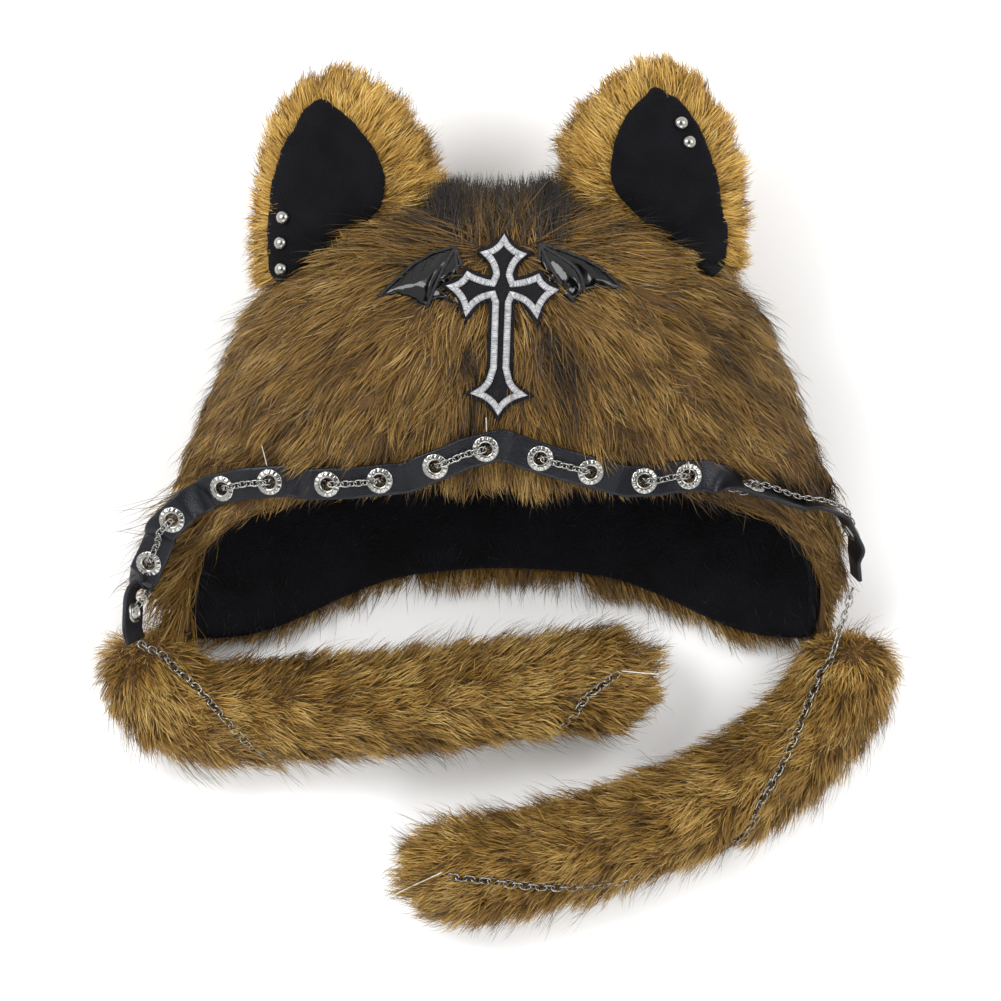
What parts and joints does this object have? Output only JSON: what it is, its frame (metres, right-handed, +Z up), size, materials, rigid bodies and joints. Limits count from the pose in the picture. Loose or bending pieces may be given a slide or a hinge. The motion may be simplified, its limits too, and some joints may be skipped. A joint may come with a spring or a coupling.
{
  "type": "faux fur hat with cat ears",
  "caption": "Soft open-mouthed hat of long-pile fur with cat ears, a cross patch with wings, an eyelet strap laced with chain and fur tails, lying flat on its back.",
  "frame": {"origin": "on the surface the hat lies on, under the middle of its overall length and width", "axes": "+Y from the face opening to the crown and the ears, +X to the right as seen from above, +Z up from the surface"},
  "size_m": [0.3642, 0.3896, 0.118],
  "materials": {
    "golden_fur": "long pile",
    "light_golden_fur": "long pile",
    "black_plush": "short pile",
    "black_felt": "matte",
    "silver_braid": "satin metallic thread",
    "black_leathercloth": "semi-gloss",
    "nickel_steel": "bright nickel plate"
  },
  "bodies": {
    "root": {"cross_braid": "silver_braid", "cross_patch": "black_felt", "crown_fur": "golden_fur", "crown_lining": "black_plush", "ear_fur_left": "light_golden_fur", "ear_fur_right": "light_golden_fur", "ear_panel_left": "black_plush", "ear_panel_right": "black_plush", "ear_stud_left_1": "nickel_steel", "ear_stud_left_2": "nickel_steel", "ear_stud_left_3": "nickel_steel", "ear_stud_right_1": "nickel_steel", "ear_stud_right_2": "nickel_steel", "eyelet_01": "nickel_steel", "eyelet_02": "nickel_steel", "eyelet_03": "nickel_steel", "eyelet_04": "nickel_steel", "eyelet_05": "nickel_steel", "eyelet_06": "nickel_steel", "eyelet_07": "nickel_steel", "eyelet_08": "nickel_steel", "eyelet_09": "nickel_steel", "eyelet_10": "nickel_steel", "eyelet_11": "nickel_steel", "eyelet_12": "nickel_steel", "eyelet_13": "nickel_steel", "eyelet_14": "nickel_steel", "eyelet_15": "nickel_steel", "strap": "black_leathercloth", "strap_chain": "nickel_steel", "tail_chain_left": "nickel_steel", "tail_chain_right": "nickel_steel", "tail_fur_left": "golden_fur", "tail_fur_right": "golden_fur", "wing_left": "black_leathercloth", "wing_right": "black_leathercloth"}
  },
  "joints": []
}
